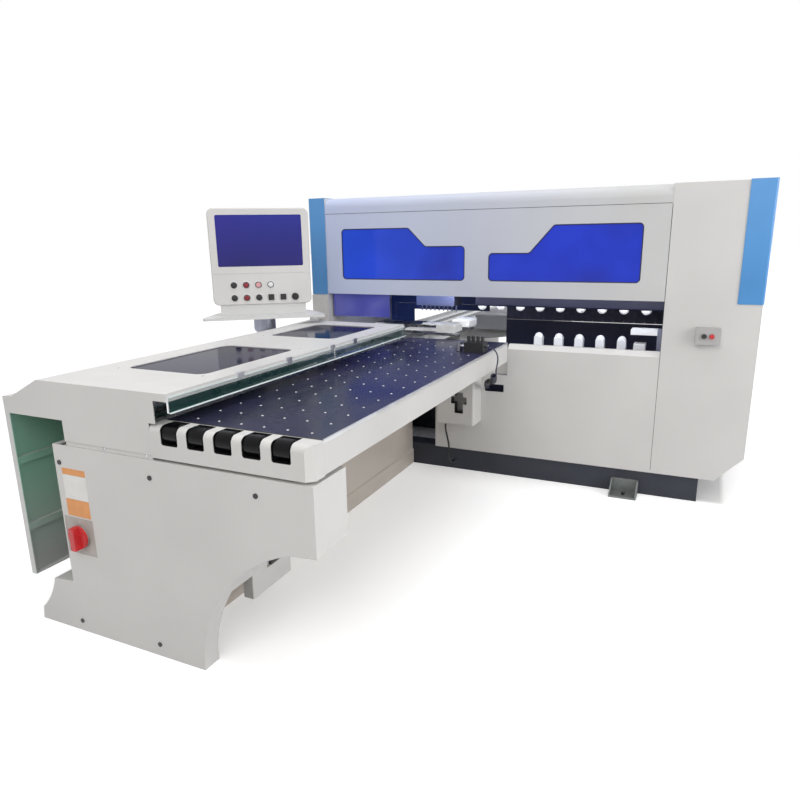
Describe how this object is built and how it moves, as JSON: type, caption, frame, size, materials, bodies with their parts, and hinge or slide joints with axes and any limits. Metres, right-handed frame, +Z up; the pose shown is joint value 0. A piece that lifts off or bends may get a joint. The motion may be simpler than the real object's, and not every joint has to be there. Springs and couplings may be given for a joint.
{
  "type": "panel drilling machine",
  "caption": "Gantry drilling machine for flat panels: feed arm with float table, clamps and rollers, housed drilling heads, press beam and swing-arm console.",
  "frame": {"origin": "on the floor, on the underside of the plinth's middle cross member, under the middle of the gantry", "axes": "+X along the gantry to the right seen from the operator's side, +Y the way a panel is fed, +Z up"},
  "size_m": [3.0217, 4.4263, 1.7693],
  "materials": {
    "white_paint": "satin",
    "blue_paint": "satin",
    "dark_paint": "satin",
    "grey_paint": "satin",
    "steel": "ground",
    "aluminium": "anodised",
    "blue_pane": "gloss",
    "smoke_pane": "gloss",
    "clear_pane": "gloss",
    "violet_curtain": "clear",
    "float_surface": "gloss",
    "white_plastic": "satin",
    "black_plastic": "satin",
    "red_plastic": "satin",
    "rubber": "matt",
    "hose_blue": "gloss",
    "screen": "gloss"
  },
  "bodies": {
    "machine": {"plinth": "dark_paint", "anchor_brackets": "dark_paint", "left_cabinet": "white_paint", "right_cabinet": "white_paint", "corner_panels": "blue_paint", "roof_cover": "white_paint", "lower_front_panel": "white_paint", "rear_panel": "white_paint", "rear_curtain": "rubber", "crossbeams": "grey_paint", "bed_supports": "aluminium", "throat_curtain": "violet_curtain", "button_box": "grey_paint", "valve_box": "white_paint", "feed_bed": "white_paint", "feed_beam": "steel", "table_frame": "white_paint", "float_plate": "float_surface", "edge_trim": "aluminium", "roller_housing": "white_paint", "end_panel": "white_paint", "hole_plugs": "black_plastic", "switch_base": "black_plastic", "service_box": "white_paint", "feed_cover": "white_paint", "cover_windows": "smoke_pane", "cover_guard": "clear_pane", "side_skirt": "white_paint", "pusher_body": "black_plastic", "rear_table": "white_paint", "console_bracket": "white_paint", "valve_cable": "rubber", "air_hose": "hose_blue"},
    "hatch": {"hatch": "white_paint", "hatch_windows": "blue_pane"},
    "press": {"press_beam": "aluminium", "press_pads": "white_plastic"},
    "upper_carriage": {"upper_carriage": "aluminium"},
    "upper_head": {"upper_head": "aluminium"},
    "lower_carriage": {"lower_carriage": "aluminium"},
    "lower_head": {"lower_head": "aluminium"},
    "front_gripper": {"front_gripper": "steel"},
    "front_jaw": {"front_gripper_jaw": "aluminium"},
    "rear_gripper": {"rear_gripper": "steel"},
    "rear_jaw": {"rear_gripper_jaw": "aluminium"},
    "pusher": {"pusher_rod": "steel"},
    "switch_knob": {"switch_knob": "red_plastic"},
    "start_button": {"start_button": "black_plastic"},
    "stop_button": {"stop_button": "red_plastic"},
    "console_arm": {"console_arm": "white_paint"},
    "console": {"console_post": "grey_paint", "console_housing": "white_paint", "console_screen": "screen", "console_buttons": "black_plastic"},
    "selector": {"console_selector": "black_plastic"},
    "roller_1": {"front_roller_1": "rubber"},
    "roller_2": {"front_roller_2": "rubber"},
    "roller_3": {"front_roller_3": "rubber"},
    "roller_4": {"front_roller_4": "rubber"},
    "roller_5": {"front_roller_5": "rubber"}
  },
  "joints": [
    {"name": "hatch_hinge", "type": "hinge", "parent": "machine", "child": "hatch", "pos_m": [-0.178, -0.5, 1.6656], "axis": [-1, 0, 0], "range_deg": [0, 44]},
    {"name": "press_slide", "type": "slide", "parent": "machine", "child": "press", "axis": [0, 0, 1], "range_m": [-0.118, 0]},
    {"name": "upper_carriage_slide", "type": "slide", "parent": "machine", "child": "upper_carriage", "axis": [1, 0, 0], "range_m": [-0.45, 1.28]},
    {"name": "upper_head_slide", "type": "slide", "parent": "upper_carriage", "child": "upper_head", "axis": [0, 0, 1], "range_m": [-0.12, 0]},
    {"name": "lower_carriage_slide", "type": "slide", "parent": "machine", "child": "lower_carriage", "axis": [1, 0, 0], "range_m": [-0.5, 0.36]},
    {"name": "lower_head_slide", "type": "slide", "parent": "lower_carriage", "child": "lower_head", "axis": [0, 0, 1], "range_m": [0, 0.13]},
    {"name": "front_gripper_slide", "type": "slide", "parent": "machine", "child": "front_gripper", "axis": [0, 1, 0], "range_m": [-2, 1.45]},
    {"name": "front_jaw_slide", "type": "slide", "parent": "front_gripper", "child": "front_jaw", "axis": [0, 0, 1], "range_m": [-0.0155, 0]},
    {"name": "rear_gripper_slide", "type": "slide", "parent": "machine", "child": "rear_gripper", "axis": [0, 1, 0], "range_m": [-2, 1.45]},
    {"name": "rear_jaw_slide", "type": "slide", "parent": "rear_gripper", "child": "rear_jaw", "axis": [0, 0, 1], "range_m": [-0.0155, 0]},
    {"name": "roller_1_spin", "type": "hinge", "parent": "machine", "child": "roller_1", "pos_m": [-0.478, -2.794, 0.879], "axis": [1, 0, 0], "continuous": true},
    {"name": "roller_2_spin", "type": "hinge", "parent": "machine", "child": "roller_2", "pos_m": [-0.3665, -2.794, 0.879], "axis": [1, 0, 0], "continuous": true},
    {"name": "roller_3_spin", "type": "hinge", "parent": "machine", "child": "roller_3", "pos_m": [-0.255, -2.794, 0.879], "axis": [1, 0, 0], "continuous": true},
    {"name": "roller_4_spin", "type": "hinge", "parent": "machine", "child": "roller_4", "pos_m": [-0.1435, -2.794, 0.879], "axis": [1, 0, 0], "continuous": true},
    {"name": "roller_5_spin", "type": "hinge", "parent": "machine", "child": "roller_5", "pos_m": [-0.032, -2.794, 0.879], "axis": [1, 0, 0], "continuous": true},
    {"name": "pusher_slide", "type": "slide", "parent": "machine", "child": "pusher", "axis": [1, 0, 0], "range_m": [-0.04, 0.02]},
    {"name": "switch_turn", "type": "hinge", "parent": "machine", "child": "switch_knob", "pos_m": [-0.978, -2.826, 0.422], "axis": [0, 1, 0], "range_deg": [0, 90]},
    {"name": "start_press", "type": "slide", "parent": "machine", "child": "start_button", "axis": [0, 1, 0], "range_m": [0, 0.004], "stiffness_N_per_m": 600},
    {"name": "stop_press", "type": "slide", "parent": "machine", "child": "stop_button", "axis": [0, 1, 0], "range_m": [0, 0.004], "stiffness_N_per_m": 600},
    {"name": "console_arm_swing", "type": "hinge", "parent": "machine", "child": "console_arm", "pos_m": [-1.33, -0.566, 0.94], "axis": [0, 0, 1], "range_deg": [-80, 0]},
    {"name": "console_turn", "type": "hinge", "parent": "console_arm", "child": "console", "pos_m": [-1.358, -1.085, 1], "axis": [0, 0, 1], "range_deg": [-30, 60]},
    {"name": "selector_turn", "type": "hinge", "parent": "console", "child": "selector", "pos_m": [-1.18224, -0.99844, 1.17], "axis": [0.6115, -0.7912, 0], "range_deg": [-45, 45]}
  ],
  "couplings": [
    {"joint": "rear_gripper_slide", "follows": "front_gripper_slide", "ratio": 1}
  ]
}
